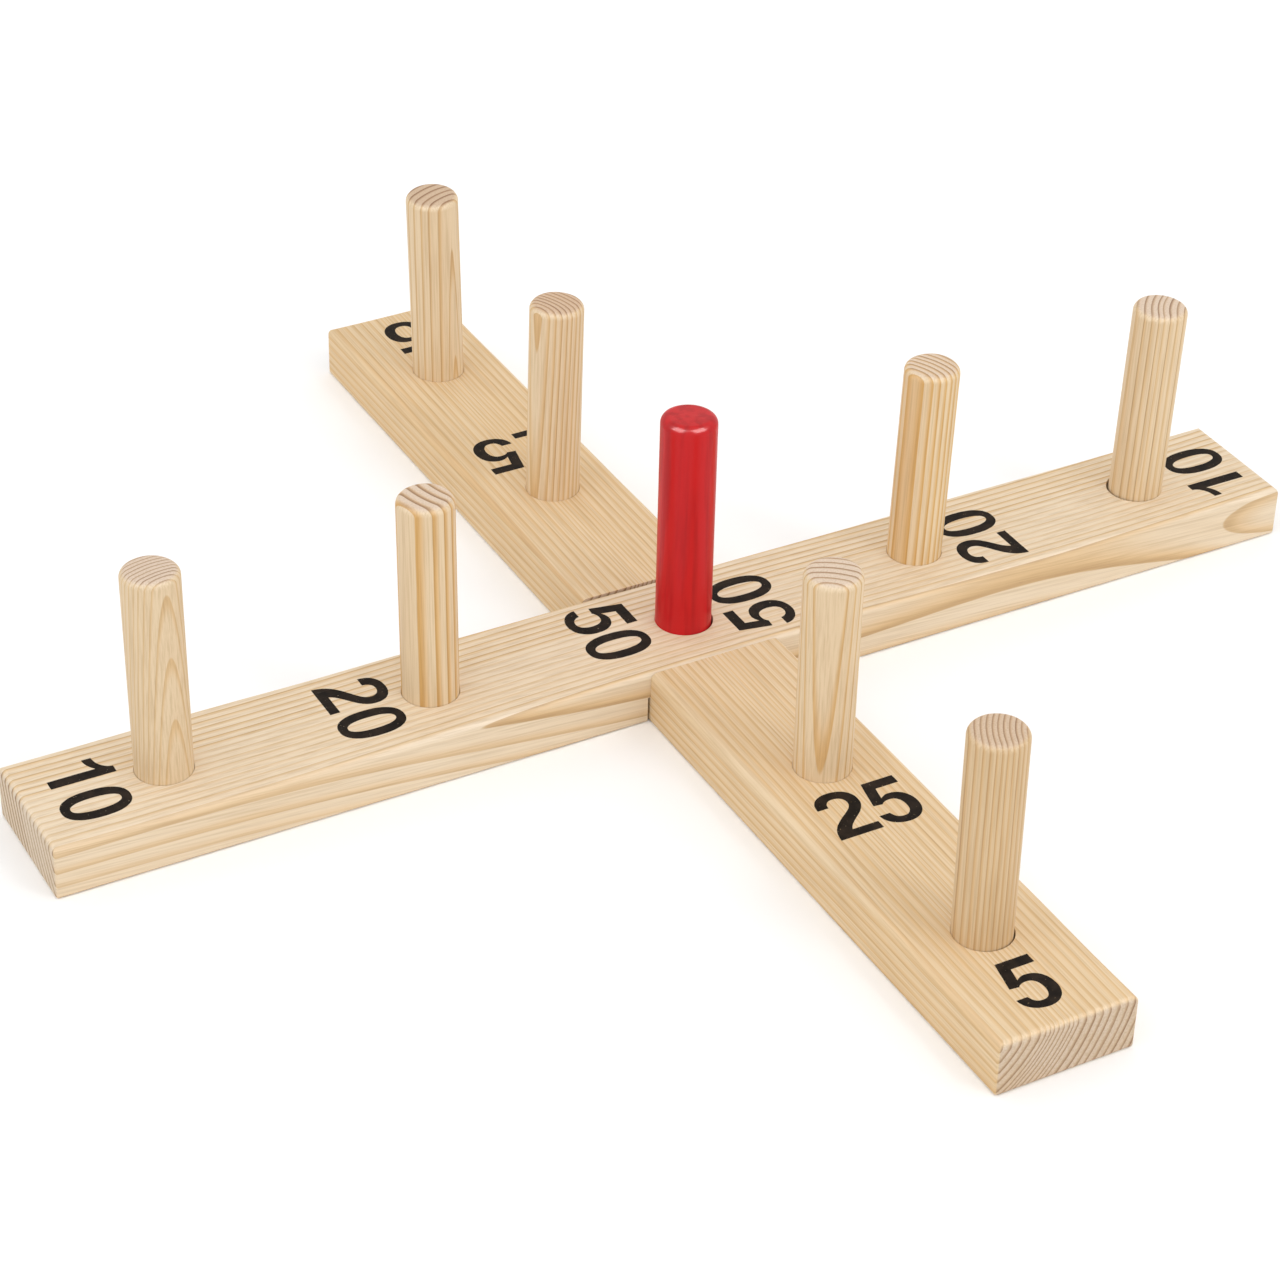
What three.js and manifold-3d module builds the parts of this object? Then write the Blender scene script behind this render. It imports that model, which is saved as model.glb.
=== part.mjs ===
// Ring toss base: two equal boards crossed in a flush half-lap joint, with nine loose pegs.
// Millimetres, +Z up. The origin is the centre of the cross, at the height of the ground.
// +X runs along the upper board and +Y along the lower board.

import * as THREE from 'three';
import { RoundedBoxGeometry } from 'three/addons/geometries/RoundedBoxGeometry.js';
import { mergeVertices } from 'three/addons/utils/BufferGeometryUtils.js';
import Module from 'manifold-3d';

const wasm = await Module();
wasm.setup();

// Boards
const boardLength = 600;
const boardWidth = 63;
const boardThickness = 24.5;
const edgeRadius = 3;
const edgeSegments = 3;

// Half-lap joint: each board gives up half its thickness over the other board's width
const lapSideClearance = 0.6;
const contactGap = 0.3;

// Pegs: one length for all nine
const pegLength = 114;
const pegRadius = 12.25;
const pegTopRadius = 3.7;
const pegFootChamfer = 1;
const pegTopSteps = 4;
const roundSegments = 40;

// Peg holes
const holeRadius = 12.75;
const holeDepth = 18;
const pegPitch = 120;

const lapFloor = boardThickness / 2;
const pegFootInBlindHole = boardThickness - holeDepth;
const blindHoleFloor = pegFootInBlindHole - contactGap;
const cutOverrun = 10;

const pine = { roughness: 0.62, metalness: 0 };
const lacquer = { roughness: 0.18, metalness: 0 };

const valueColours = {
  5: 0xe6cfa2,
  10: 0xe9d3a8,
  20: 0xe8cc98,
  25: 0xecd8b2,
  50: 0xc02128,
};

// --- Solids -----------------------------------------------------------------------------

function toSolid(geometry) {
  const bare = geometry.clone();
  bare.deleteAttribute('normal');
  bare.deleteAttribute('uv');
  const merged = mergeVertices(bare);
  return new wasm.Manifold(new wasm.Mesh({
    numProp: 3,
    vertProperties: new Float32Array(merged.attributes.position.array),
    triVerts: new Uint32Array(merged.index.array),
  }));
}

function toGeometry(solid) {
  const cut = solid.getMesh();
  const geometry = new THREE.BufferGeometry();
  geometry.setAttribute('position', new THREE.BufferAttribute(cut.vertProperties, 3));
  geometry.setIndex(new THREE.BufferAttribute(cut.triVerts, 1));
  geometry.computeVertexNormals();
  return geometry;
}

// A box that spans all of the board's width and more, between two heights
function notchCutter(low, high) {
  const length = boardWidth + 2 * lapSideClearance;
  const cutter = new THREE.BoxGeometry(length, boardWidth + 2 * cutOverrun, high - low);
  cutter.translate(0, 0, (low + high) / 2);
  return toSolid(cutter);
}

function holeCutter(x, floor) {
  const height = boardThickness + cutOverrun - floor;
  const cutter = new THREE.CylinderGeometry(holeRadius, holeRadius, height, roundSegments);
  cutter.rotateX(Math.PI / 2);
  cutter.translate(x, 0, floor + height / 2);
  return toSolid(cutter);
}

// --- Boards -----------------------------------------------------------------------------

// One plank along X, with four blind holes; the notch is on its top or its underside
function boardSolid(notchLow, notchHigh) {
  const plank = new RoundedBoxGeometry(
    boardLength, boardWidth, boardThickness, edgeSegments, edgeRadius,
  );
  plank.translate(0, 0, boardThickness / 2);
  let solid = toSolid(plank).subtract(notchCutter(notchLow, notchHigh));
  for (const step of [-2, -1, 1, 2]) {
    solid = solid.subtract(holeCutter(step * pegPitch, blindHoleFloor));
  }
  return solid;
}

function upperBoardGeometry() {
  const notched = boardSolid(-cutOverrun, lapFloor + contactGap / 2);
  return toGeometry(notched.subtract(holeCutter(0, -cutOverrun)));
}

function lowerBoardGeometry() {
  return toGeometry(boardSolid(lapFloor - contactGap / 2, boardThickness + cutOverrun));
}

// --- Pegs -------------------------------------------------------------------------------

// A dowel with a chamfered foot and a rounded top edge, standing on z = 0
function pegGeometry() {
  const profile = [
    new THREE.Vector2(0, 0),
    new THREE.Vector2(pegRadius - pegFootChamfer, 0),
    new THREE.Vector2(pegRadius, pegFootChamfer),
  ];
  for (let i = 0; i <= pegTopSteps; i++) {
    const angle = (i / pegTopSteps) * (Math.PI / 2);
    profile.push(new THREE.Vector2(
      pegRadius - pegTopRadius + pegTopRadius * Math.cos(angle),
      pegLength - pegTopRadius + pegTopRadius * Math.sin(angle),
    ));
  }
  profile.push(new THREE.Vector2(0, pegLength));
  const peg = new THREE.LatheGeometry(profile, roundSegments);
  peg.rotateX(Math.PI / 2);
  return peg;
}

// --- Assembly ---------------------------------------------------------------------------

function named(name, geometry, colour, finish) {
  const material = new THREE.MeshStandardMaterial({ color: colour, ...finish });
  const mesh = new THREE.Mesh(geometry, material);
  mesh.name = name;
  return mesh;
}

function addPeg(board, name, value, x, foot) {
  const finish = value === 50 ? lacquer : pine;
  const peg = named(name, pegGeometry(), valueColours[value], finish);
  peg.position.set(x, 0, foot);
  board.add(peg);
}

const upperBoard = new THREE.Group();
upperBoard.add(named('upper_board', upperBoardGeometry(), 0xead2a6, pine));
addPeg(upperBoard, 'peg_10_left', 10, -2 * pegPitch, pegFootInBlindHole);
addPeg(upperBoard, 'peg_20_left', 20, -pegPitch, pegFootInBlindHole);
addPeg(upperBoard, 'peg_20_right', 20, pegPitch, pegFootInBlindHole);
addPeg(upperBoard, 'peg_10_right', 10, 2 * pegPitch, pegFootInBlindHole);
// The centre peg passes through the upper board and stands on the floor of the lap
addPeg(upperBoard, 'peg_50_centre', 50, 0, lapFloor + contactGap / 2);

const lowerBoard = new THREE.Group();
lowerBoard.rotation.z = Math.PI / 2;
lowerBoard.add(named('lower_board', lowerBoardGeometry(), 0xe8cf9f, pine));
addPeg(lowerBoard, 'peg_5_front', 5, -2 * pegPitch, pegFootInBlindHole);
addPeg(lowerBoard, 'peg_25_front', 25, -pegPitch, pegFootInBlindHole);
addPeg(lowerBoard, 'peg_25_back', 25, pegPitch, pegFootInBlindHole);
addPeg(lowerBoard, 'peg_5_back', 5, 2 * pegPitch, pegFootInBlindHole);

const ringTossBase = new THREE.Group();
ringTossBase.add(upperBoard, lowerBoard);

export default ringTossBase;
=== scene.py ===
"""A ring toss target: two half-lapped pine boards in a cross with nine loose pegs, one lacquered red.

Meshes are modelled in millimetres and scaled to metres when a piece is finished.
"""

import math

import bmesh
import bpy
from mathutils import Matrix, Vector, noise
from mathutils.geometry import delaunay_2d_cdt


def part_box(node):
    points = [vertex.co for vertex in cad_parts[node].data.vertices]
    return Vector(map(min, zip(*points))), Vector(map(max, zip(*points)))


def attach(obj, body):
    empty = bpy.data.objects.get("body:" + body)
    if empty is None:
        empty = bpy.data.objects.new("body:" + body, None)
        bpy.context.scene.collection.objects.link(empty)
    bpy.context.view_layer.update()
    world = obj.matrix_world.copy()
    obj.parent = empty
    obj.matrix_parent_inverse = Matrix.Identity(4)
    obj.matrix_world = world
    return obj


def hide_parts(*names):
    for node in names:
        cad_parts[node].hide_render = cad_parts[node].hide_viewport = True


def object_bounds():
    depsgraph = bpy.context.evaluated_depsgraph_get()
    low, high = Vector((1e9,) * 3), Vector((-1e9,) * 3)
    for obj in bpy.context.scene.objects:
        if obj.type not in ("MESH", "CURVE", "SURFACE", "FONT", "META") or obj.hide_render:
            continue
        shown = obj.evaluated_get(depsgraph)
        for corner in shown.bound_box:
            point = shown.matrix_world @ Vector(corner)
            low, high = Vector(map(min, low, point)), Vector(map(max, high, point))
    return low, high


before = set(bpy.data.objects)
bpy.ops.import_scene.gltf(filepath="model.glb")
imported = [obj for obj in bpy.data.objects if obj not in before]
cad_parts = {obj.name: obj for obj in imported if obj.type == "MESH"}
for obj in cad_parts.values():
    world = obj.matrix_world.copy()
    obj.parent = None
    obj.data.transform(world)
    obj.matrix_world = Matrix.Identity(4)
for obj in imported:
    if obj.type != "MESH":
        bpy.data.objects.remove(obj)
cad_low, cad_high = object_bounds()

MM = 0.001

# ---------------------------------------------------------------- driving sizes, in millimetres

TOP_EDGE_RADIUS = 3.1
BOTTOM_EDGE_RADIUS = 1.1
EDGE_UNEVENNESS = 0.25
EDGE_WAVES = 0.02
EDGE_STEPS = 9
PLAN_CORNER = 1.3
LEAST_CORNER = PLAN_CORNER / 8
CORNER_STEPS = 5
SIDE_STEP = 9.0

LAP_GAP = 0.3
LAP_SLACK_LEFT = 1.1
LAP_SLACK_RIGHT = 0.25
LAP_SLACK_ACROSS = 0.08

HOLE_DEPTH = 18.0
HOLE_RIM = 0.12
DRILL_POINT = 1.1
DRILL_POINT_RADIUS = 1.6
ROUND_STEPS = 96

PEG_TOP_RADIUS = 3.7
PEG_FOOT_CHAMFER = 1.0
PEG_TOP_STEPS = 9
PEG_CROWN = 0.12
CROWN_SHOULDER = (0.6, 0.7)
PEG_WEAR = 0.25
PEG_WEAR_POWER = 8
PEG_WEAR_WAVES = (0.08, 0.02)

DIGIT_STEP = 0.8
OVAL_STEP = 0.96
INK_FEATHER = 0.08
INK_WAVES = 0.9

# Meshing: how close two points are one, how sharp a crease stays, and how far flat faces lead the normals.
WELD = 0.001
CREASE = math.radians(35)
FLAT_WEIGHT = 80


def size_of(node):
    """Centre, size and lowest corner of a CAD node, in millimetres."""
    low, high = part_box(node)
    return (low + high) / 2 / MM, (high - low) / MM, low / MM


# ---------------------------------------------------------------- mesh helpers


def new_object(name, bm):
    mesh = bpy.data.meshes.new(name)
    bm.to_mesh(mesh)
    bm.free()
    piece = bpy.data.objects.new(name, mesh)
    bpy.context.scene.collection.objects.link(piece)
    return piece


def lathe(profile):
    """A closed solid turned about Z from (radius, height) points; the first and last lie on the axis."""
    bm = bmesh.new()
    bottom = bm.verts.new((0, 0, profile[0][1]))
    top = bm.verts.new((0, 0, profile[-1][1]))
    rings = []
    for radius, height in profile[1:-1]:
        ring = []
        for step in range(ROUND_STEPS):
            angle = 2 * math.pi * step / ROUND_STEPS
            ring.append(bm.verts.new((radius * math.cos(angle), radius * math.sin(angle), height)))
        rings.append(ring)
    for step in range(ROUND_STEPS):
        after = (step + 1) % ROUND_STEPS
        bm.faces.new((bottom, rings[0][after], rings[0][step]))
        bm.faces.new((top, rings[-1][step], rings[-1][after]))
        for low, high in zip(rings, rings[1:]):
            bm.faces.new((low[step], low[after], high[after], high[step]))
    return bm


def box_solid(low, high):
    bm = bmesh.new()
    bmesh.ops.create_cube(bm, size=1)
    size = Vector(high) - Vector(low)
    bm.transform(Matrix.Translation((Vector(low) + Vector(high)) / 2) @ Matrix.Diagonal((*size, 1)))
    return bm


def cut(piece, cutter_bm):
    """Takes a closed cutter away from the piece."""
    cutter = new_object("cutter", cutter_bm)
    modifier = piece.modifiers.new("cut", "BOOLEAN")
    modifier.operation = "DIFFERENCE"
    modifier.solver = "EXACT"
    modifier.object = cutter
    depsgraph = bpy.context.evaluated_depsgraph_get()
    result = bpy.data.meshes.new_from_object(piece.evaluated_get(depsgraph))
    piece.modifiers.clear()
    piece.data = result
    bpy.data.objects.remove(cutter)


def finish_piece(piece, place, materials, node):
    """Puts the piece in its place in metres, smooths its rounded edges, parents it to its body and hides its
    CAD part.
    """
    mesh = piece.data
    mesh.transform(Matrix.Scale(MM, 4) @ place)
    mesh.name = piece.name
    for material in materials:
        mesh.materials.append(material)
    mesh.shade_smooth()
    mesh.set_sharp_from_angle(angle=CREASE)
    normals = piece.modifiers.new("weighted_normals", "WEIGHTED_NORMAL")
    normals.keep_sharp = True
    normals.weight = FLAT_WEIGHT
    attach(piece, node)
    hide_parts(node)


# ---------------------------------------------------------------- numerals


def bend(start, *handles):
    """Points along a Bezier curve after its start; the last handle is its end."""
    corners = [Vector(p) for p in (start, *handles)]
    length = sum((b - a).length for a, b in zip(corners, corners[1:]))
    steps = max(3, round(length / DIGIT_STEP))
    points = []
    for step in range(1, steps + 1):
        level = corners
        while len(level) > 1:
            level = [a.lerp(b, step / steps) for a, b in zip(level, level[1:])]
        points.append(level[0])
    return points


def outline(start, *parts):
    """A closed outline: each part is the end of a straight line, or a tuple of curve handles."""
    points = [Vector(start)]
    for part in parts:
        if isinstance(part[0], tuple):
            points += bend(points[-1], *part)
        else:
            points += bend(points[-1], part)
    return points[:-1]


def oval(centre, half_width, half_height, squareness):
    """A closed oval; squareness above 2 gives it straighter sides."""
    steps = round(4 * (half_width + half_height) / OVAL_STEP)
    points = []
    for step in range(steps):
        angle = 2 * math.pi * step / steps
        across, up = math.cos(angle), math.sin(angle)
        x = math.copysign(abs(across) ** (2 / squareness), across) * half_width
        y = math.copysign(abs(up) ** (2 / squareness), up) * half_height
        points.append(Vector((centre[0] + x, centre[1] + y)))
    return points


# Each digit is a list of closed outlines from its own lower left corner; a second outline is a counter.
DIGITS = {
    "0": [
        oval((9.35, 14.8), 9.35, 14.8, 2.35),
        oval((9.35, 14.8), 4.15, 10.8, 2.3),
    ],
    "1": [
        outline(
            (13.1, 0), (13.1, 28.1), (8.9, 28.1),
            ((8.2, 24.2), (4.5, 21.9), (0, 21.8)), (0, 17.7),
            ((3.2, 17.8), (6.0, 18.9), (7.8, 20.9)), (7.8, 0), (13.1, 0),
        )
    ],
    "2": [
        outline(
            (1.4, 20.6), ((1.2, 26.2), (4.9, 29.4), (10.7, 29.4)),
            ((16.7, 29.4), (20.4, 26.2), (20.4, 20.9)),
            ((20.4, 15.8), (16.6, 13.0), (12.9, 10.1)),
            ((10.6, 8.2), (8.9, 6.9), (8.0, 4.5)),
            (19.9, 4.5), (19.9, 0), (0, 0),
            ((0.4, 6.4), (3.4, 9.5), (8.4, 13.1)),
            ((12.9, 16.3), (15.2, 17.8), (15.2, 20.9)),
            ((15.2, 23.4), (13.3, 25.0), (10.6, 25.0)),
            ((7.9, 25.0), (6.4, 23.3), (6.4, 20.6)), (1.4, 20.6),
        )
    ],
    "5": [
        outline(
            (4.2, 29.5), (19.1, 29.5), (19.1, 24.4), (8.3, 24.4), (7.1, 17.9),
            ((8.3, 19.0), (9.7, 19.6), (11.2, 19.6)),
            ((16.5, 19.6), (19.6, 15.6), (19.6, 9.9)),
            ((19.6, 3.9), (15.6, 0), (9.9, 0)),
            ((4.6, 0), (0.4, 3.1), (0, 8.1)), (5.1, 8.1),
            ((5.5, 5.6), (7.1, 4.1), (9.6, 4.1)),
            ((12.5, 4.1), (14.1, 6.4), (14.1, 9.8)),
            ((14.1, 13.4), (12.6, 15.9), (9.6, 15.9)),
            ((7.8, 15.9), (6.4, 15.5), (5.4, 14.2)), (1.3, 14.7), (4.2, 29.5),
        )
    ],
}

# Numbers on each board: text, the place of the number's middle along and across the board, quarter turns
# against the board, and each digit's lower left corner about that middle.
UPPER_NUMBERS = (
    ("10", (-272.0, 0.0), -1, ((-19.5, -14.1), (0.8, -16.2))),
    ("20", (-150.5, 2.0), -1, ((-20.5, -14.3), (2.6, -16.0))),
    ("50", (-32.5, 5.0), -1, ((-20.6, -14.3), (1.5, -15.7))),
    ("50", (34.5, -3.5), 1, ((-20.7, -13.4), (2.0, -14.7))),
    ("20", (152.0, -3.0), 1, ((-21.2, -13.8), (2.3, -15.7))),
    ("10", (278.5, -3.5), 1, ((-19.8, -12.3), (0.5, -14.3))),
)
LOWER_NUMBERS = (
    ("25", (-153.0, -2.0), -1, ((-21.2, -13.9), (0.7, -15.1))),
    ("5", (-274.0, 1.5), -1, ((-10.1, -14.8),)),
    ("25", (155.5, -2.0), 1, ((-21.9, -14.6), (1.5, -15.2))),
    ("5", (274.5, -2.0), 1, ((-8.9, -15.4),)),
)


def number_outlines(text, middle, turns, corners):
    """Outlines of one stamped number in the board's own plane, with slightly feathered edges."""
    turn = Matrix.Rotation(turns * math.pi / 2, 2)
    shapes = []
    for digit, corner in zip(text, corners):
        for shape in DIGITS[digit]:
            points = []
            for point in shape:
                spot = turn @ (point + Vector(corner)) + Vector(middle)
                waves = spot * INK_WAVES
                wander = Vector((noise.noise((*waves, 0.5)), noise.noise((*waves, 7.5))))
                points.append(spot + wander * INK_FEATHER)
            shapes.append(points)
    return shapes


def ink_top(piece, height, shapes):
    """Tiles the flat top of a board again, so that each inked shape has faces of the second material.

    A spot inside two shapes, such as the counter of a 0, stays bare."""
    bm = bmesh.new()
    bm.from_mesh(piece.data)
    bmesh.ops.remove_doubles(bm, verts=bm.verts, dist=WELD)
    bm.normal_update()
    level = [face for face in bm.faces if face.normal.z > 0.999]
    tops = [face for face in level if abs(face.calc_center_median().z - height) < 0.01]
    corners = list(dict.fromkeys(vert for face in tops for vert in face.verts))
    order = {vert: index for index, vert in enumerate(corners)}
    points = [vert.co.to_2d() for vert in corners]
    faces = [[order[vert] for vert in face.verts] for face in tops]
    for shape in shapes:
        faces.append(list(range(len(points), len(points) + len(shape))))
        points += shape
    inside_constraints = 1
    tiling = delaunay_2d_cdt(points, [], faces, inside_constraints, 1e-5)
    spots, _, tiles, spot_sources, _, tile_sources = tiling
    bmesh.ops.delete(bm, geom=tops, context="FACES_ONLY")
    placed = []
    for point, sources in zip(spots, spot_sources):
        known = [source for source in sources if source < len(corners)]
        placed.append(corners[known[0]] if known else bm.verts.new((*point, height)))
    for tile, sources in zip(tiles, tile_sources):
        if not any(source < len(tops) for source in sources):
            continue
        inked = sum(source >= len(tops) for source in sources) % 2
        face = bm.faces.new([placed[index] for index in tile])
        face.material_index = inked
    bm.to_mesh(piece.data)
    bm.free()


# ---------------------------------------------------------------- boards


def board_loop(length, width, insets=None):
    """Points round a board's plan, each moved inwards by its own inset: the corners stay narrow arcs."""
    points = []
    reach = Vector((length / 2, width / 2))
    signs = [Vector((1, 1)), Vector((-1, 1)), Vector((-1, -1)), Vector((1, -1))]
    for quarter, sign in enumerate(signs):
        for step in range(CORNER_STEPS + 1):
            inset = insets[len(points)] if insets else 0
            radius = max(PLAN_CORNER - inset, LEAST_CORNER)
            angle = (quarter + step / CORNER_STEPS) * math.pi / 2
            out = Vector((math.cos(angle), math.sin(angle)))
            points.append(sign * (reach - Vector((1, 1)) * (inset + radius)) + out * radius)
        side = signs[(quarter + 1) % 4] - sign
        span = abs(side.dot(reach)) - 2 * PLAN_CORNER
        count = round(span / SIDE_STEP)
        for step in range(1, count):
            inset = insets[len(points)] if insets else 0
            middle = side * (step / count - 0.5) * (span / side.length)
            points.append(middle + (sign + side / 2) * (reach - Vector((1, 1)) * inset))
    return points


def board_blank(name, length, width, thickness, seed):
    """A plank with rounded top edges and eased bottom ones, a little uneven, as sanding leaves them."""
    plan = board_loop(length, width)
    drift = [noise.noise((*point * EDGE_WAVES, seed)) * EDGE_UNEVENNESS for point in plan]
    bm = bmesh.new()
    loops = []
    rising = (BOTTOM_EDGE_RADIUS, range(EDGE_STEPS + 1))
    closing = (TOP_EDGE_RADIUS, range(EDGE_STEPS, -1, -1))
    for edge, steps in (rising, closing):
        radii = [edge * (1 + d) for d in drift]
        for step in steps:
            angle = math.pi / 2 * step / EDGE_STEPS
            loop = []
            spots = board_loop(length, width, [radius * (1 - math.sin(angle)) for radius in radii])
            for spot, radius in zip(spots, radii):
                rise = radius * (1 - math.cos(angle))
                loop.append(bm.verts.new((*spot, thickness - rise if edge == TOP_EDGE_RADIUS else rise)))
            loops.append(loop)
    for low, high in zip(loops, loops[1:]):
        for here in range(len(plan)):
            after = (here + 1) % len(plan)
            bm.faces.new((low[here], low[after], high[after], high[here]))
    bm.faces.new(reversed(loops[0]))
    bm.faces.new(loops[-1])
    return new_object(name, bm)


def drill(radius, depth, blind, slope):
    """The cutter for one peg hole, its mouth at height 0: it has a broken rim and leans as its peg does."""
    floor = [(0, -depth - DRILL_POINT), (DRILL_POINT_RADIUS, -depth)] if blind else [(0, -depth)]
    rim = [(radius, -HOLE_RIM), (radius + HOLE_RIM, 0), (radius + 2 * HOLE_RIM, HOLE_RIM)]
    bm = lathe([*floor, (radius, -depth), *rim, (0, HOLE_RIM)])
    lean = Matrix.Identity(4)
    lean[0][2], lean[1][2] = slope
    bm.transform(lean)
    return bm


def build_board(node, lap_above, holes, numbers, materials, seed):
    """One board, its length along X until it is turned to lie as its CAD node does."""
    centre, size, low = size_of(node)
    turned = size.y > size.x
    length, width = max(size.x, size.y), min(size.x, size.y)
    piece = board_blank(node.replace("_board", "_plank"), length, width, size.z, seed)
    half = width / 2
    middle = size.z / 2
    if lap_above:
        reach = half + LAP_SLACK_ACROSS
        cut(piece, box_solid((-reach, -width, middle - LAP_GAP / 2), (reach, width, size.z * 2)))
    else:
        low_corner = (-half - LAP_SLACK_LEFT, -width, -size.z)
        high_corner = (half + LAP_SLACK_RIGHT, width, middle + LAP_GAP / 2)
        cut(piece, box_solid(low_corner, high_corner))
    for place, radius, blind, slope in holes:
        cutter = drill(radius, HOLE_DEPTH if blind else size.z, blind, slope)
        cutter.transform(Matrix.Translation((*place, size.z)))
        cut(piece, cutter)
    shapes = [shape for number in numbers for shape in number_outlines(*number)]
    ink_top(piece, size.z, shapes)
    turn = Matrix.Rotation(math.pi / 2 if turned else 0, 4, "Z")
    finish_piece(piece, Matrix.Translation((centre.x, centre.y, low.z)) @ turn, materials, node)


# ---------------------------------------------------------------- pegs


def peg_slope(node, lean):
    """How far a peg moves sideways for each millimetre of height; lean is how far its top has moved."""
    _, size, _ = size_of(node)
    return Vector(lean) / (size.z - HOLE_DEPTH)


def peg_axis(node, lean, mouth):
    """Where a peg's axis crosses the floor and its direction; mouth is its shift at the mouth of its hole."""
    centre, _, low = size_of(node)
    axis = Vector((*peg_slope(node, lean), 1))
    at_mouth = Vector((centre.x + mouth[0], centre.y + mouth[1], low.z + HOLE_DEPTH))
    return at_mouth - axis * at_mouth.z, axis


def build_peg(node, lean, mouth, material, seed):
    """One peg along its axis, its round top a little worn down."""
    _, size, low = size_of(node)
    root, axis = peg_axis(node, lean, mouth)
    radius = size.x / 2
    rise = radius * math.hypot(axis.x, axis.y)
    height = size.z - 2 * rise - PEG_CROWN
    profile = [(0, 0), (radius - PEG_FOOT_CHAMFER, 0), (radius, PEG_FOOT_CHAMFER), (radius, height * 0.5)]
    for step in range(PEG_TOP_STEPS + 1):
        angle = math.pi / 2 * step / PEG_TOP_STEPS
        inward = PEG_TOP_RADIUS * (1 - math.cos(angle))
        profile.append((radius - inward, height - PEG_TOP_RADIUS * (1 - math.sin(angle))))
    out, up = CROWN_SHOULDER
    shoulder = (radius - PEG_TOP_RADIUS) * out, height + PEG_CROWN * up
    bm = lathe([*profile, shoulder, (0, height + PEG_CROWN)])
    across, along = PEG_WEAR_WAVES
    for vert in bm.verts:
        drift = noise.noise((vert.co.x * across, vert.co.y * across, vert.co.z * along + seed))
        share = max(0, vert.co.z / height) ** PEG_WEAR_POWER
        vert.co.z -= share * PEG_WEAR * (1 + drift)
    piece = new_object(node.replace("peg", "dowel"), bm)
    foot = root + axis * (low.z + rise)
    tilt = Vector((0, 0, 1)).rotation_difference(axis)
    finish_piece(piece, Matrix.Translation(foot) @ tilt.to_matrix().to_4x4(), [material], node)


# ---------------------------------------------------------------- shader helpers


class Shader:
    """A node material with short ways to add nodes to it."""

    def __init__(self, name):
        self.material = bpy.data.materials.new(name)
        self.material.use_nodes = True
        self.tree = self.material.node_tree
        self.surface = self.tree.nodes["Principled BSDF"]

    def feed(self, socket, value):
        if isinstance(value, bpy.types.NodeSocket):
            self.tree.links.new(value, socket)
        else:
            socket.default_value = value

    def add(self, kind, inputs=(), **settings):
        node = self.tree.nodes.new(kind)
        for name, value in settings.items():
            setattr(node, name, value)
        for name, value in dict(inputs).items():
            self.feed(node.inputs[name], value)
        return node

    def math(self, operation, *values):
        node = self.add("ShaderNodeMath", operation=operation)
        for socket, value in zip(node.inputs, values):
            self.feed(socket, value)
        return node.outputs[0]

    def scaled(self, vector, scale):
        node = self.add("ShaderNodeVectorMath", operation="MULTIPLY")
        self.feed(node.inputs[0], vector)
        self.feed(node.inputs[1], scale)
        return node.outputs[0]

    def noise(self, vector, seed, detail=1.0, roughness=0.5):
        inputs = {"Vector": vector, "W": seed, "Scale": 1.0, "Detail": detail, "Roughness": roughness}
        node = self.add("ShaderNodeTexNoise", inputs, noise_dimensions="4D")
        return node.outputs["Fac"]

    def tree_noise(self, spot, waves, seed, detail, roughness=0.5):
        """Noise with so many waves for each millimetre along the trunk and across it."""
        along, across = waves
        return self.noise(self.scaled(spot, (along, across, across)), seed, detail, roughness)

    def remap(self, value, low, high, new_low=0.0, new_high=1.0, curve="SMOOTHSTEP"):
        inputs = {"Value": value, "From Min": low, "From Max": high, "To Min": new_low, "To Max": new_high}
        node = self.add("ShaderNodeMapRange", inputs, interpolation_type=curve)
        return node.outputs["Result"]

    def mix(self, factor, first, second, blend="MIX"):
        node = self.add("ShaderNodeMix", data_type="RGBA", blend_type=blend)
        self.feed(node.inputs["Factor"], factor)
        self.feed(node.inputs["A"], (*first, 1) if isinstance(first, tuple) else first)
        self.feed(node.inputs["B"], (*second, 1) if isinstance(second, tuple) else second)
        return node.outputs["Result"]

    def bump(self, height):
        """The normal of a relief whose height is in millimetres."""
        inputs = {"Height": height, "Distance": MM, "Strength": 1.0}
        return self.add("ShaderNodeBump", inputs).outputs["Normal"]


# ---------------------------------------------------------------- pine

EARLYWOOD = (0.775, 0.640, 0.475)
HALO = (0.675, 0.420, 0.160)
LATEWOOD = (0.290, 0.165, 0.085)
HEARTWOOD = (0.710, 0.520, 0.310)
FIBRE_SHADE = (0.84, 0.80, 0.745)
RESIN = (0.30, 0.17, 0.085)

# A year runs from 0 to 1: pale early wood, then late wood that starts, darkens to its peak and drops away.
# The last two values make one year unlike the next.
LATE_START = 0.74
LATE_START_ON_ENDS = 0.54
LATE_PEAK = 0.93
LATE_END = 0.955
YEAR_WAVES = 0.31
YEAR_SEED_STEP = 3.7

# Noises in the wood: waves for each millimetre along the trunk and across it.
SWAY_WAVES = (1 / 170, 1 / 42)
RIPPLE_WAVES = (1 / 34, 1 / 7)
PATCH_WAVES = (1 / 120, 1 / 18)
FIBRE_WAVES = (1 / 40, 1.3)
PORE_WAVES = (1 / 9, 2.6)

# Relief of the surface, in millimetres.
LATE_RELIEF = 0.035
FIBRE_RELIEF = 0.05
RESIN_RELIEF = 0.06


def tree_frame(grain):
    """Turns the tree's own axes to the piece: X along the trunk, Y from the piece to the pith."""
    trunk = Vector(grain["trunk"]).normalized()
    inward = Vector(grain["pith"]) - Vector(grain["centre"])
    inward = (inward - trunk * trunk.dot(inward)).normalized()
    return Matrix((trunk, inward, trunk.cross(inward))).transposed().to_euler()


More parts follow.
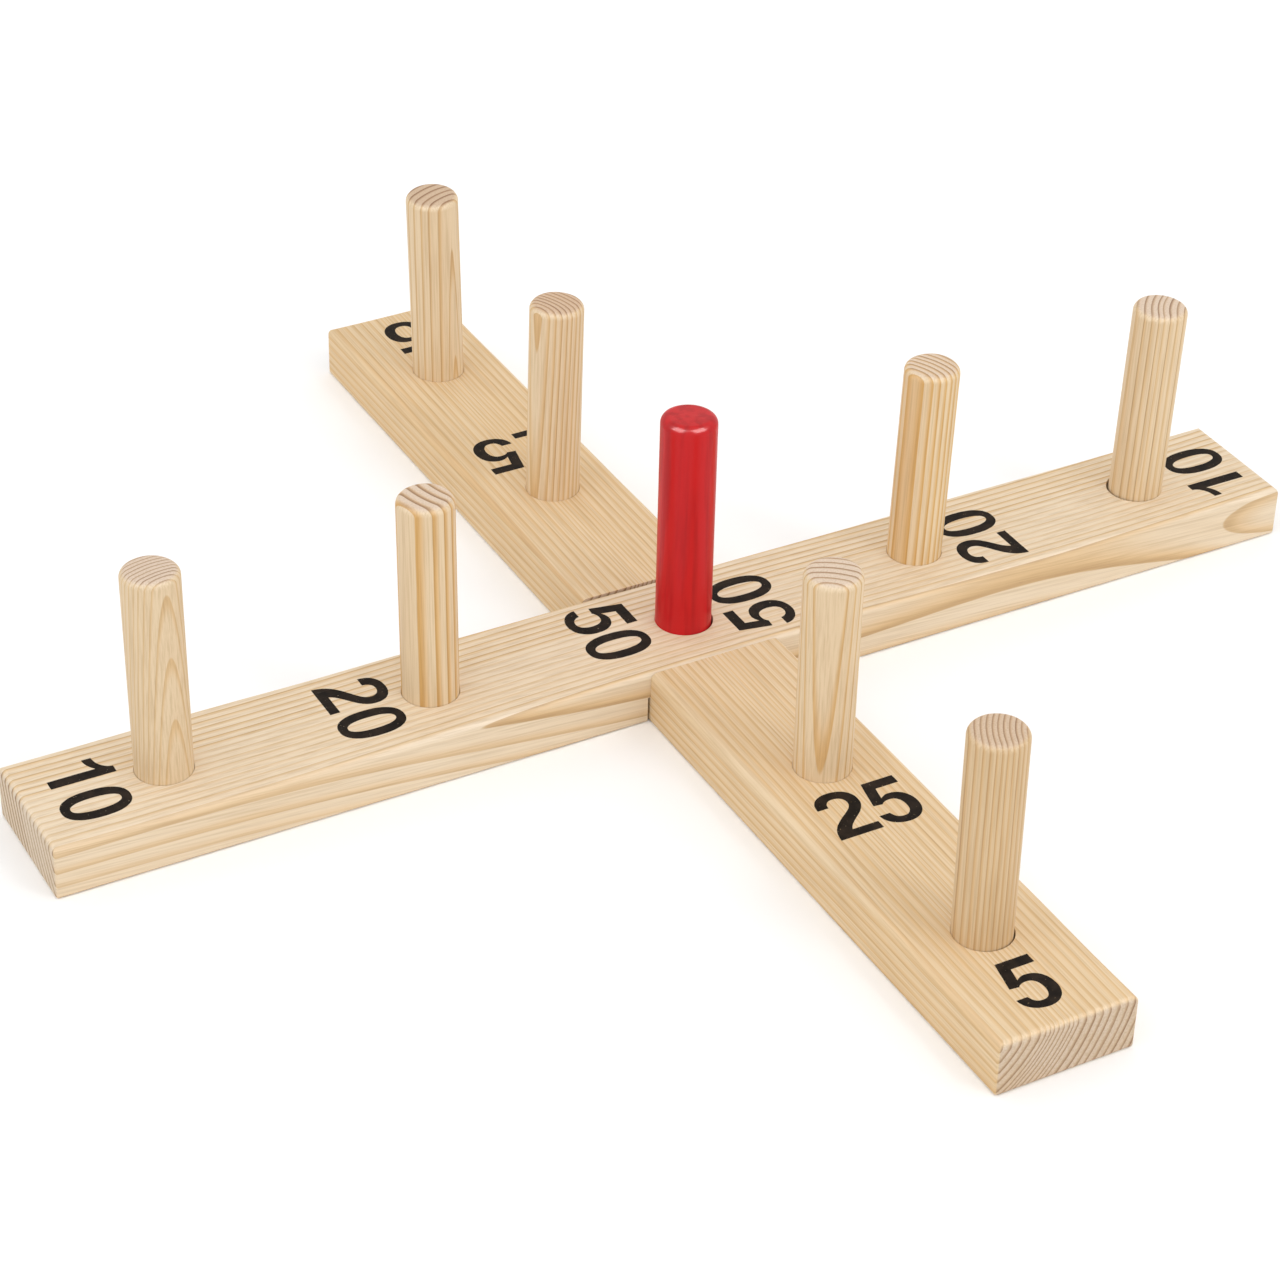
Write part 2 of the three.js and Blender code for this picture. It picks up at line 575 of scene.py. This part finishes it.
def swelling(shader, coordinates, grain):
    """How far the rings bulge outwards round a knot."""
    (x, z), (length, height), most = grain["knot"]
    near = shader.scaled(coordinates, (1 / (MM * length), 0, 1 / (MM * height)))
    distance = shader.add("ShaderNodeVectorMath", {1: (x / length, 0, z / height)}, operation="DISTANCE")
    shader.feed(distance.inputs[0], near)
    return shader.remap(distance.outputs["Value"], 0.0, 1.0, most, 0.0)


def bowed_radius(shader, spot, grain):
    """How far each spot is from the pith of a tree that bows, sweeps and waves along its length."""
    parts = shader.add("ShaderNodeSeparateXYZ", {"Vector": spot}).outputs
    square = shader.math("MULTIPLY", parts["X"], parts["X"])
    curve = shader.math("MULTIPLY_ADD", parts["X"], grain["sweep"], grain["bow"])
    height, reach, start = grain["wave"]
    wave = shader.math("SINE", shader.math("MULTIPLY_ADD", parts["X"], 1 / reach, start))
    shift = shader.math("MULTIPLY_ADD", wave, height, shader.math("MULTIPLY", square, curve))
    towards = shader.math("ADD", parts["Y"], shift)
    across = shader.add("ShaderNodeCombineXYZ", {"Y": towards, "Z": parts["Z"]}).outputs[0]
    length = shader.add("ShaderNodeVectorMath", operation="LENGTH")
    shader.feed(length.inputs[0], across)
    return length.outputs["Value"]


def year_rings(shader, spot, bulge, grain):
    """How many years' rings lie between the pith and each spot, with the sway and ripple of real rings."""
    sway = shader.tree_noise(spot, SWAY_WAVES, grain["seed"], detail=1.0)
    ripple = shader.tree_noise(spot, RIPPLE_WAVES, grain["seed"] + 7, detail=2.0)
    radius = shader.math("MULTIPLY_ADD", sway, 2 * grain["sway"], bowed_radius(shader, spot, grain))
    radius = shader.math("MULTIPLY_ADD", ripple, 2 * grain["ripple"], radius)
    radius = shader.math("SUBTRACT", radius, bulge)
    drift = grain["sway"] + grain["ripple"]
    phase = -(grain["ring_end"] + drift) / grain["spacing"] - grain["unevenness"] / 2
    rings = shader.math("MULTIPLY_ADD", radius, 1 / grain["spacing"], phase)
    start, stop, extra = grain["slow_years"]
    ramp = shader.remap(radius, start + drift, stop + drift, 0.0, extra, "LINEAR")
    rings = shader.math("ADD", rings, ramp)
    inputs = {"W": rings, "Scale": YEAR_WAVES, "Detail": 1.0}
    years = shader.add("ShaderNodeTexNoise", inputs, noise_dimensions="1D").outputs["Fac"]
    return shader.math("MULTIPLY_ADD", years, grain["unevenness"], rings)


def year_luck(shader, rings, seed):
    """How strong the late wood of each year is, from 0.2 to 1; most years are weak."""
    year = shader.math("ADD", shader.math("FLOOR", rings), seed * YEAR_SEED_STEP)
    chance = shader.add("ShaderNodeTexWhiteNoise", {"W": year}, noise_dimensions="1D").outputs["Value"]
    return shader.math("MULTIPLY_ADD", shader.math("POWER", chance, 1.6), 0.8, 0.2)


def end_share(shader, coordinates, along):
    """How much of a face is end grain: 0 on the sides of the piece, 1 on its ends."""
    facing = shader.add("ShaderNodeVectorMath", operation="DOT_PRODUCT")
    shader.feed(facing.inputs[0], coordinates.outputs["Normal"])
    shader.feed(facing.inputs[1], Vector(along))
    return shader.remap(shader.math("ABSOLUTE", facing.outputs["Value"]), 0.55, 0.97)


def pine_parts(shader, grain):
    """The pattern of one piece of pine, cut from the trunk where its grain says.

    Gives the colour, the height of the grain in millimetres and the share of end grain."""
    seed = grain["seed"]
    coordinates = shader.add("ShaderNodeTexCoord")
    mapping = shader.add(
        "ShaderNodeMapping",
        {
            "Vector": coordinates.outputs["Object"],
            "Location": Vector(grain["pith"]) * MM,
            "Rotation": tree_frame(grain),
            "Scale": (MM, MM, MM),
        },
        vector_type="TEXTURE",
    )
    spot = mapping.outputs["Vector"]
    rings = year_rings(shader, spot, swelling(shader, coordinates.outputs["Object"], grain), grain)
    season = shader.math("FRACT", rings)
    luck = year_luck(shader, rings, seed)
    stop = shader.remap(season, LATE_END, 1.0, 1.0, 0.0)
    glow = shader.math("MULTIPLY", shader.remap(season, grain["summer"], LATE_PEAK), stop)
    glow_luck = shader.math("MULTIPLY_ADD", luck, grain["halo_luck"], 1 - grain["halo_luck"])
    glow = shader.math("MULTIPLY", glow, glow_luck)

    end = end_share(shader, coordinates, grain["along"])
    onset = shader.math("MULTIPLY_ADD", end, LATE_START_ON_ENDS - LATE_START, LATE_START)
    late = shader.math("MULTIPLY", shader.remap(season, onset, LATE_PEAK), stop)
    unlucky = shader.math("SUBTRACT", 1.0, luck)
    late_luck = shader.math("MULTIPLY_ADD", unlucky, shader.math("MULTIPLY", end, 0.5), luck)
    late = shader.math("MULTIPLY", late, late_luck)

    fibre = shader.tree_noise(spot, FIBRE_WAVES, seed + 3, detail=3.0, roughness=0.6)
    pores = shader.tree_noise(spot, PORE_WAVES, seed + 5, detail=2.0, roughness=0.6)
    patch = shader.tree_noise(spot, PATCH_WAVES, seed + 9, detail=2.0)
    resin = shader.remap(pores, 0.69, 0.76, 0.0, 0.5)
    resin = shader.math("MULTIPLY", resin, shader.math("MULTIPLY_ADD", late, 0.8, 0.2))

    line = shader.math("MULTIPLY_ADD", end, grain["end_lines"] - grain["lines"], grain["lines"])
    colour = shader.mix(shader.remap(patch, 0.35, 0.7, 0.0, grain["heart"]), EARLYWOOD, HEARTWOOD)
    colour = shader.mix(shader.math("MULTIPLY", glow, grain["halo"]), colour, HALO)
    colour = shader.mix(shader.math("MULTIPLY", late, line), colour, LATEWOOD)
    shade = shader.remap(fibre, 0.38, 0.72)
    colour = shader.mix(shade, colour, shader.mix(1.0, colour, FIBRE_SHADE, "MULTIPLY"))
    colour = shader.mix(resin, colour, RESIN)
    colour = shader.mix(end, colour, shader.mix(1.0, colour, grain["end_tint"], "MULTIPLY"))
    colour = shader.mix(1.0, colour, grain["tint"], "MULTIPLY")

    height = shader.math("MULTIPLY_ADD", late, LATE_RELIEF, shader.math("MULTIPLY", fibre, FIBRE_RELIEF))
    height = shader.math("SUBTRACT", height, shader.math("MULTIPLY", resin, RESIN_RELIEF))
    return colour, height, end


def pine(name, grain):
    shader = Shader(name)
    colour, height, end = pine_parts(shader, grain)
    shader.feed(shader.surface.inputs["Base Color"], colour)
    shader.feed(shader.surface.inputs["Roughness"], shader.math("MULTIPLY_ADD", end, 0.15, 0.6))
    shader.feed(shader.surface.inputs["Normal"], shader.bump(height))
    shader.surface.inputs["Specular IOR Level"].default_value = 0.25
    return shader.material


INK = (0.010, 0.007, 0.005)
INK_THIN = (0.026, 0.017, 0.011)
BLOT_WAVES = (160.0, 160.0, 160.0)
PINHOLE_WAVES = (1400.0, 1400.0, 1400.0)


def ink_on_pine(name, grain):
    """Dark stamped ink: the wood's relief shows through it, and it is thinner in places."""
    shader = Shader(name)
    colour, height = pine_parts(shader, grain)[:2]
    coordinates = shader.add("ShaderNodeTexCoord").outputs["Object"]
    blot = shader.noise(shader.scaled(coordinates, BLOT_WAVES), 2.0, detail=3.0)
    pinholes = shader.noise(shader.scaled(coordinates, PINHOLE_WAVES), 4.0, detail=1.0)
    ink = shader.mix(shader.remap(blot, 0.35, 0.7), INK, INK_THIN)
    ink = shader.mix(shader.remap(pinholes, 0.70, 0.78, 0.0, 0.35), ink, colour)
    shader.feed(shader.surface.inputs["Base Color"], ink)
    shader.feed(shader.surface.inputs["Roughness"], shader.remap(blot, 0.3, 0.7, 0.42, 0.55))
    shader.feed(shader.surface.inputs["Normal"], shader.bump(height))
    shader.surface.inputs["Specular IOR Level"].default_value = 0.04
    return shader.material


RED = (0.530, 0.012, 0.014)
RED_DEEP = (0.410, 0.009, 0.011)
STREAK_WAVES = (260.0, 260.0, 14.0)
PEEL_WAVES = (420.0, 420.0, 160.0)
PEEL_RELIEF = 0.035
WOOD_THROUGH_PAINT = 0.35


def red_lacquer(name, grain):
    """Glossy red paint on a turned peg, with the grain just showing as relief and faint streaks."""
    shader = Shader(name)
    height = pine_parts(shader, grain)[1]
    coordinates = shader.add("ShaderNodeTexCoord").outputs["Object"]
    streak = shader.noise(shader.scaled(coordinates, STREAK_WAVES), 6.0, detail=3.0)
    red = shader.mix(shader.remap(streak, 0.42, 0.68), RED, RED_DEEP)
    peel = shader.noise(shader.scaled(coordinates, PEEL_WAVES), 8.0, detail=2.0)
    peel_height = shader.math("MULTIPLY", peel, PEEL_RELIEF)
    relief = shader.math("MULTIPLY_ADD", height, WOOD_THROUGH_PAINT, peel_height)
    shader.feed(shader.surface.inputs["Base Color"], red)
    shader.feed(shader.surface.inputs["Roughness"], shader.remap(streak, 0.3, 0.7, 0.34, 0.44))
    shader.feed(shader.surface.inputs["Normal"], shader.bump(relief))
    shader.surface.inputs["Specular IOR Level"].default_value = 0.05
    shader.surface.inputs["Coat Weight"].default_value = 0.25
    shader.surface.inputs["Coat Roughness"].default_value = 0.2
    return shader.material


# ---------------------------------------------------------------- grain of each piece

# Where a piece lies in its tree, in millimetres: pith is a point of the pith, trunk the trunk's direction.
# The pith bends away by bow and sweep, and waves with a height, a reach and a start. A knot has a place and
# a size along and up the piece, and a bulge. spacing is the width of a year's ring, ring_end a distance from
# the pith where a ring ends, slow_years a span of the radius and the extra rings in it.
# The rest says how strong the pattern is: how uneven the years are, how the rings sway and ripple, where in
# a year the warm glow starts (summer), how strong it is (halo) and how much that varies (halo_luck), the
# dark lines on the sides and on the ends, the patches of heartwood, and the tints.
GRAIN = {
    "bow": 0.0, "sweep": 0.0, "wave": (0.0, 100.0, 0.0), "knot": ((0.0, 0.0), (1.0, 1.0), 0.0),
    "spacing": 3.0, "ring_end": 0.0, "slow_years": (0.0, 1.0, 0.0),
    "unevenness": 0.9, "sway": 1.2, "ripple": 0.16,
    "summer": 0.35, "halo": 0.50, "halo_luck": 0.0,
    "lines": 0.36, "end_lines": 1.0, "heart": 0.25,
    "tint": (1, 1, 1), "end_tint": (0.84, 0.85, 0.90), "seed": 1.0,
}


def board_grain(node, **settings):
    """A board's grain, with the board's own place in it."""
    centre, size, _ = size_of(node)
    along = (0, 1, 0) if size.y > size.x else (1, 0, 0)
    return {**GRAIN, "centre": centre, "along": along, **settings}


def peg_grain(root, axis, angle, distance, trunk_lean=0.0, **settings):
    """A peg's grain; angle is the direction of its pith in degrees round Z, counted from X."""
    heading = math.radians(angle)
    towards = Vector((math.cos(heading), math.sin(heading), 0))
    place = {"pith": root + towards * distance, "trunk": axis + towards * trunk_lean}
    return {**GRAIN, **PEG_WOOD, "centre": root, "along": axis.normalized(), **place, **settings}


# ---------------------------------------------------------------- camera, floor and light

VIEW_AZIMUTH = -29.41
VIEW_ELEVATION = 34.49
VIEW_ROLL = 1.50
VIEW_DISTANCE = 1.54044
VIEW_RIGHT = -0.01677
VIEW_UP = 0.01071
LENS = 98.9
SENSOR = 36.0
CLIP_END = 20.0


def turned_axes(azimuth, elevation, roll):
    """Right, up and backward directions of a camera that looks at the origin from that side, in degrees."""
    turn, rise, lean = (math.radians(angle) for angle in (azimuth, elevation, roll))
    back = Vector((math.sin(turn) * math.cos(rise), -math.cos(turn) * math.cos(rise), math.sin(rise)))
    right = Vector((math.cos(turn), math.sin(turn), 0))
    up = back.cross(right)
    leaning_right = right * math.cos(lean) + up * math.sin(lean)
    return leaning_right, up * math.cos(lean) - right * math.sin(lean), back


def build_camera():
    right, up, back = turned_axes(VIEW_AZIMUTH, VIEW_ELEVATION, VIEW_ROLL)
    place = back * VIEW_DISTANCE + right * VIEW_RIGHT + up * VIEW_UP
    data = bpy.data.cameras.new("camera")
    data.lens = LENS
    data.sensor_width = SENSOR
    data.clip_end = CLIP_END
    camera = bpy.data.objects.new("camera", data)
    camera.matrix_world = Matrix.Translation(place) @ Matrix((right, up, back)).transposed().to_4x4()
    bpy.context.scene.collection.objects.link(camera)
    bpy.context.scene.camera = camera


FLOOR_REACH = 9.0
FLOOR_DROP = 0.0002
FLOOR_WHITE = (0.95, 0.95, 0.95, 1)
FLOOR_ROUGHNESS = 0.8
FLOOR_SHINE = 0.1

# Each softbox has a side, given as azimuth and elevation in degrees, and a power. The sparkles are larger
# lamps on the same sides that light no matt surface: they show only as highlights.
SKY_STRENGTH = 1.075
SOFTBOXES = (((24, 50), 5.0), ((-84, 50), 1.7))
SOFTBOX_SIZE = 0.4
SPARKLE_POWER = 220.0
SPARKLE_SIZE = 1.8
LAMP_DISTANCE = 2.4


def build_floor():
    bm = bmesh.new()
    bmesh.ops.create_grid(bm, x_segments=1, y_segments=1, size=FLOOR_REACH)
    bm.transform(Matrix.Translation((0, 0, cad_low.z - FLOOR_DROP)))
    floor = new_object("floor", bm)
    shader = Shader("floor_white")
    shader.surface.inputs["Base Color"].default_value = FLOOR_WHITE
    shader.surface.inputs["Roughness"].default_value = FLOOR_ROUGHNESS
    shader.surface.inputs["Specular IOR Level"].default_value = FLOOR_SHINE
    floor.data.materials.append(shader.material)


def build_lamp(name, side, power, size):
    right, up, back = turned_axes(*side, 0)
    data = bpy.data.lights.new(name, "AREA")
    data.size = size
    data.energy = power
    lamp = bpy.data.objects.new(name, data)
    axes = Matrix((right, up, back)).transposed().to_4x4()
    lamp.matrix_world = Matrix.Translation(back * LAMP_DISTANCE) @ axes
    bpy.context.scene.collection.objects.link(lamp)
    return lamp


def build_light():
    world = bpy.data.worlds.new("studio")
    world.use_nodes = True
    background = world.node_tree.nodes["Background"]
    background.inputs["Color"].default_value = (1, 1, 1, 1)
    background.inputs["Strength"].default_value = SKY_STRENGTH
    bpy.context.scene.world = world
    for side, power in SOFTBOXES:
        build_lamp("softbox", side, power, SOFTBOX_SIZE)
    for side, _ in SOFTBOXES:
        lamp = build_lamp("sparkle", side, SPARKLE_POWER, SPARKLE_SIZE)
        lamp.visible_diffuse = False
    bpy.context.scene.view_settings.view_transform = "Standard"


# ---------------------------------------------------------------- the object

UPPER_GRAIN = board_grain(
    "upper_board",
    pith=(0, -90.9, 32.85), trunk=(1, -0.0018, -0.0565), bow=0.0000156, sweep=0.0000000424,
    wave=(1.73, 61.0, 1.688), knot=((298.4, 10.0), (50.3, 14.8), 1.85), spacing=3.911, ring_end=65.7,
    unevenness=0.0, sway=0.04, ripple=0.06, halo=0.75, halo_luck=0.7, tint=(0.965, 0.965, 0.955), seed=6.5,
)
LOWER_GRAIN = board_grain(
    "lower_board",
    pith=(-58, 0, 45), trunk=(0.01, 1, 0), spacing=3.6, ring_end=60.0, slow_years=(53.4, 69.5, 3.6),
    heart=0.4, tint=(0.92, 0.85, 0.715), end_tint=(0.84, 0.88, 1.06), seed=11.0,
)

# What the wood of all the pegs shares, then what each peg's has of its own. The pegs are built in this order.
PEG_WOOD = {
    "unevenness": 0.3, "sway": 0.2, "ripple": 0.12, "heart": 0.1, "end_lines": 0.9,
    "tint": (0.92, 0.87, 0.77), "end_tint": (0.93, 0.94, 1.10),
}
PEG_GRAINS = {
    "peg_10_left": dict(
        angle=-81.41, distance=30, trunk_lean=0.072, spacing=2.2, ring_end=23.8, summer=0.6, lines=0.12,
        halo=0.5, tint=(0.89, 0.84, 0.74),
    ),
    "peg_20_left": dict(
        angle=16.59, distance=45, spacing=4.3, ring_end=56.2, summer=0.35, lines=0.25, halo=1.0,
    ),
    "peg_50_centre": dict(angle=-99.41, distance=40),
    "peg_20_right": dict(
        angle=-159.41, distance=40, spacing=2.9, ring_end=28.9, summer=0.3, lines=0.2, halo=1.0,
        tint=(0.95, 0.90, 0.78),
    ),
    "peg_10_right": dict(
        angle=-41.41, distance=45, spacing=3.0, ring_end=43.8, lines=0.5, unevenness=1.0,
    ),
    "peg_25_front": dict(
        angle=-126.91, distance=40, trunk_lean=-0.038, spacing=3.6, ring_end=26.6, summer=0.6, lines=0.25,
        halo=0.8,
    ),
    "peg_5_front": dict(
        angle=-31.41, distance=45, spacing=2.2, ring_end=45.9, lines=0.5, halo=0.6, tint=(0.81, 0.72, 0.58),
    ),
    "peg_5_back": dict(
        angle=-71.41, distance=35, trunk_lean=0.013, spacing=3.9, ring_end=24.3, slow_years=(22.0, 24.3, 2.3),
        summer=0.6, halo=0.7, end_lines=1.0, end_tint=(0.80, 0.74, 0.76),
    ),
    "peg_25_back": dict(
        angle=-162.41, distance=35, trunk_lean=-0.026, spacing=2.45, ring_end=20.1, lines=0.5, halo=0.7,
        end_lines=1.0, end_tint=(0.84, 0.77, 0.80),
    ),
}
RED_PEG = "peg_50_centre"
UPPER_PEGS = ("peg_10_left", "peg_20_left", "peg_50_centre", "peg_20_right", "peg_10_right")
LOWER_PEGS = ("peg_5_front", "peg_25_front", "peg_25_back", "peg_5_back")

# How each peg stands, in millimetres: the room round it in its hole, how far the hole is drilled off its true
# place, how far the peg is off the hole's true place at the mouth, and how far its top leans from there.
STANDS = {
    "peg_10_left": (0.15, (0, 0), (0, 0), (0.4, 2.6)),
    "peg_20_left": (0.18, (0, 0), (0, 0), (-0.1, 2.2)),
    "peg_50_centre": (0.45, (1.3, -1.15), (0.95, -1.05), (1.05, 2.15)),
    "peg_20_right": (0.15, (0, 0), (0, 0), (2.6, 0.3)),
    "peg_10_right": (0.55, (0, 0), (0.45, -0.3), (2.2, -0.5)),
    "peg_25_front": (0.12, (0, 0), (0, 0), (-0.1, 0.1)),
    "peg_5_front": (0.35, (0, 0), (-0.25, 0.1), (-0.2, 1.3)),
    "peg_5_back": (0.12, (0, 0), (0, 0), (-2.5, -0.3)),
    "peg_25_back": (0.12, (0, 0), (0, 0), (2.4, 2.0)),
}

UPPER_EDGE_SEED = 3.0
LOWER_EDGE_SEED = 8.0
FIRST_PEG_SEED = 20.0
PEG_SEED_STEP = 3
WEAR_SEED_STEP = 5.3


def holes_of(pegs, turned):
    """The place, radius, blindness and slope of each hole in a board, in the board's own axes."""
    turn = Matrix.Rotation(-math.pi / 2 if turned else 0, 2)
    holes = []
    for node in pegs:
        room, shift, _, lean = STANDS[node]
        centre, size, _ = size_of(node)
        place = turn @ (centre.to_2d() + Vector(shift))
        slope = turn @ peg_slope(node, lean)
        holes.append((place, size.x / 2 + room, node != RED_PEG, slope))
    return holes


def build_boards():
    upper_materials = [pine("pine_upper", UPPER_GRAIN), ink_on_pine("ink_upper", UPPER_GRAIN)]
    lower_materials = [pine("pine_lower", LOWER_GRAIN), ink_on_pine("ink_lower", LOWER_GRAIN)]
    upper_holes = holes_of(UPPER_PEGS, False)
    lower_holes = holes_of(LOWER_PEGS, True)
    build_board("upper_board", False, upper_holes, UPPER_NUMBERS, upper_materials, UPPER_EDGE_SEED)
    build_board("lower_board", True, lower_holes, LOWER_NUMBERS, lower_materials, LOWER_EDGE_SEED)


def build_pegs():
    for order, (node, wood) in enumerate(PEG_GRAINS.items()):
        _, _, mouth, lean = STANDS[node]
        grain = peg_grain(*peg_axis(node, lean, mouth), seed=FIRST_PEG_SEED + PEG_SEED_STEP * order, **wood)
        if node == RED_PEG:
            material, slot = red_lacquer("red_lacquer", grain), "red_lacquer"
        else:
            material, slot = pine(node.replace("peg", "pine"), grain), "peg_pine"
        build_peg(node, lean, mouth, material, WEAR_SEED_STEP * order)


build_camera()
build_floor()
build_light()
build_boards()
build_pegs()
